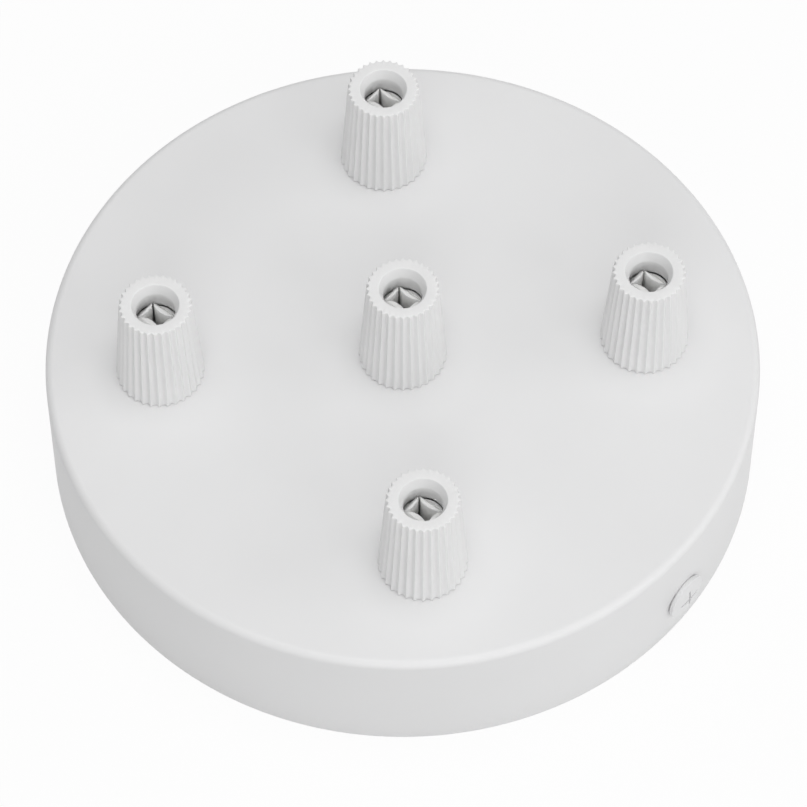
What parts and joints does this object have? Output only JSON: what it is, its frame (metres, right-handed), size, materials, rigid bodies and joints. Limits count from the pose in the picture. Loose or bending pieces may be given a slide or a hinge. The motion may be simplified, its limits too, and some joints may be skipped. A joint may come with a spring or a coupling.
{
  "type": "ceiling rose",
  "caption": "Round metal ceiling rose with fluted conical cord grips on its face, a ceiling strap, side screws and inner wire terminals.",
  "frame": {"origin": "centre of the canopy's open rim, on the ceiling's plane", "axes": "+Z away from the ceiling along the cord grips; X through the two side screws and along the strap. Stored standing on its rim as in the picture; on a ceiling it is turned over, so +Z points down"},
  "size_m": [0.1228, 0.12, 0.0439],
  "materials": {
    "white_coat": "satin white powder coat",
    "cap_plastic": "moulded, fine satin",
    "stem_nylon": "moulded, natural satin",
    "white_screw": "painted white",
    "strap_zinc": "zinc plated strip",
    "nut_zinc": "zinc plated",
    "screw_zinc": "zinc plated",
    "terminal_brass": "drawn",
    "block_plastic": "moulded, natural"
  },
  "bodies": {
    "rose": {"canopy": "white_coat", "ceiling_strap": "strap_zinc", "side_screw_1": "white_screw", "side_screw_2": "white_screw", "earth_wire_clamp": "terminal_brass", "earth_screw": "screw_zinc", "terminal_block": "block_plastic", "grip_stem_1": "stem_nylon", "grip_washer_1": "nut_zinc", "grip_nut_1": "nut_zinc", "grip_stem_2": "stem_nylon", "grip_washer_2": "nut_zinc", "grip_nut_2": "nut_zinc", "grip_stem_3": "stem_nylon", "grip_washer_3": "nut_zinc", "grip_nut_3": "nut_zinc", "grip_stem_4": "stem_nylon", "grip_washer_4": "nut_zinc", "grip_nut_4": "nut_zinc", "grip_stem_5": "stem_nylon", "grip_washer_5": "nut_zinc", "grip_nut_5": "nut_zinc", "block_screw_1": "screw_zinc", "block_screw_2": "screw_zinc", "terminal_sleeve_1": "terminal_brass", "terminal_screw_1a": "screw_zinc", "terminal_screw_1b": "screw_zinc", "terminal_sleeve_2": "terminal_brass", "terminal_screw_2a": "screw_zinc", "terminal_screw_2b": "screw_zinc", "terminal_sleeve_3": "terminal_brass", "terminal_screw_3a": "screw_zinc", "terminal_screw_3b": "screw_zinc"},
    "cap_1": {"grip_cap_1": "cap_plastic"},
    "cap_2": {"grip_cap_2": "cap_plastic"},
    "cap_3": {"grip_cap_3": "cap_plastic"},
    "cap_4": {"grip_cap_4": "cap_plastic"},
    "cap_5": {"grip_cap_5": "cap_plastic"}
  },
  "joints": [
    {"name": "cap_1_turn", "type": "hinge", "parent": "rose", "child": "cap_1", "pos_m": [0, 0, 0.024], "axis": [0, 0, 1], "range_deg": [0, 3600]},
    {"name": "cap_2_turn", "type": "hinge", "parent": "rose", "child": "cap_2", "pos_m": [0.02947, 0.02807, 0.024], "axis": [0, 0, 1], "range_deg": [0, 3600]},
    {"name": "cap_3_turn", "type": "hinge", "parent": "rose", "child": "cap_3", "pos_m": [-0.02807, 0.02947, 0.024], "axis": [0, 0, 1], "range_deg": [0, 3600]},
    {"name": "cap_4_turn", "type": "hinge", "parent": "rose", "child": "cap_4", "pos_m": [-0.02947, -0.02807, 0.024], "axis": [0, 0, 1], "range_deg": [0, 3600]},
    {"name": "cap_5_turn", "type": "hinge", "parent": "rose", "child": "cap_5", "pos_m": [0.02807, -0.02947, 0.024], "axis": [0, 0, 1], "range_deg": [0, 3600]}
  ]
}
